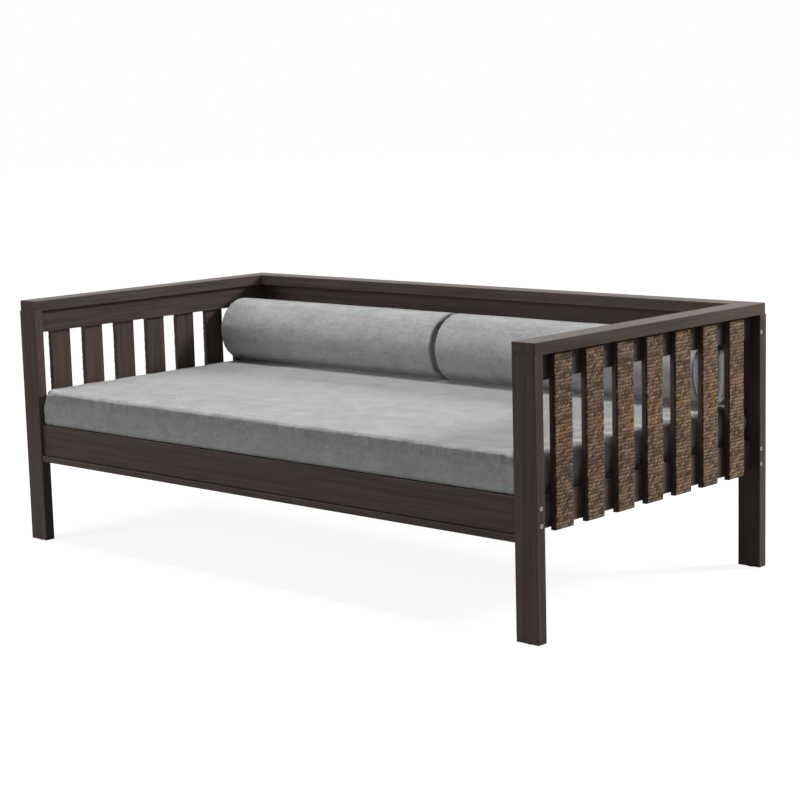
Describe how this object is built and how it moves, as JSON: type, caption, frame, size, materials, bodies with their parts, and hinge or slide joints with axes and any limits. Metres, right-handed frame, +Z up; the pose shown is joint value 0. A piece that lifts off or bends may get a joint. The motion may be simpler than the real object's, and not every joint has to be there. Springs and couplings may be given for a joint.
{
  "type": "daybed",
  "caption": "Three-sided daybed with a dark slatted wooden frame, woven fibre faces on the end slats, a mattress and two round bolsters.",
  "frame": {"origin": "on the floor under the middle of the frame, halfway along its length and depth", "axes": "+X along the daybed towards its right end as a sitter in front sees it, +Y from the open front to the back, +Z up"},
  "size_m": [2.05, 1.044, 0.76],
  "materials": {
    "dark_wood": "dark espresso stain under a satin lacquer, fine straight grain",
    "base_wood": "plain planed softwood, unfinished",
    "dowel_wood": "plain beech",
    "woven_fibre": "coarse twisted natural fibre in level rows, brown with golden flecks",
    "grey_fabric": "soft mid grey velour with a short nap",
    "steel": "zinc plated, satin",
    "glide_plastic": "matt black"
  },
  "bodies": {
    "frame": {"post_front_left": "dark_wood", "post_front_right": "dark_wood", "post_rear_left": "dark_wood", "post_rear_right": "dark_wood", "cap_rail_left": "dark_wood", "cap_rail_right": "dark_wood", "cap_rail_back": "dark_wood", "upper_rail_left": "dark_wood", "upper_rail_right": "dark_wood", "upper_rail_back": "dark_wood", "lower_rail_left": "dark_wood", "lower_rail_right": "dark_wood", "lower_rail_back": "dark_wood", "front_rail": "dark_wood", "front_rail_strip": "dark_wood", "end_slat_left_1": "dark_wood", "end_slat_left_2": "dark_wood", "end_slat_left_3": "dark_wood", "end_slat_left_4": "dark_wood", "end_slat_left_5": "dark_wood", "end_slat_left_6": "dark_wood", "end_slat_left_7": "dark_wood", "end_slat_right_1": "dark_wood", "end_slat_right_2": "dark_wood", "end_slat_right_3": "dark_wood", "end_slat_right_4": "dark_wood", "end_slat_right_5": "dark_wood", "end_slat_right_6": "dark_wood", "end_slat_right_7": "dark_wood", "back_slats": "dark_wood", "front_ledger": "base_wood", "back_ledger": "base_wood", "base_slats": "base_wood", "rail_dowels": "dowel_wood", "cap_dowels": "dowel_wood", "woven_strip_left_1": "woven_fibre", "woven_strip_left_2": "woven_fibre", "woven_strip_left_3": "woven_fibre", "woven_strip_left_4": "woven_fibre", "woven_strip_left_5": "woven_fibre", "woven_strip_left_6": "woven_fibre", "woven_strip_left_7": "woven_fibre", "woven_strip_right_1": "woven_fibre", "woven_strip_right_2": "woven_fibre", "woven_strip_right_3": "woven_fibre", "woven_strip_right_4": "woven_fibre", "woven_strip_right_5": "woven_fibre", "woven_strip_right_6": "woven_fibre", "woven_strip_right_7": "woven_fibre", "rail_bolts": "steel", "barrel_nuts": "steel", "end_slat_screws": "steel", "back_slat_screws": "steel", "frame_screws": "steel", "floor_glides": "glide_plastic"},
    "mattress": {"mattress": "grey_fabric"},
    "bolster_left": {"bolster_left": "grey_fabric"},
    "bolster_right": {"bolster_right": "grey_fabric"}
  },
  "joints": [
    {"name": "mattress_lift", "type": "slide", "parent": "frame", "child": "mattress", "axis": [0, -0.2425, 0.9701], "range_m": [0, 0.42]},
    {"name": "bolster_left_lift", "type": "slide", "parent": "mattress", "child": "bolster_left", "axis": [0, -0.2425, 0.9701], "range_m": [0, 0.3]},
    {"name": "bolster_right_lift", "type": "slide", "parent": "mattress", "child": "bolster_right", "axis": [0, -0.2425, 0.9701], "range_m": [0, 0.3]}
  ]
}
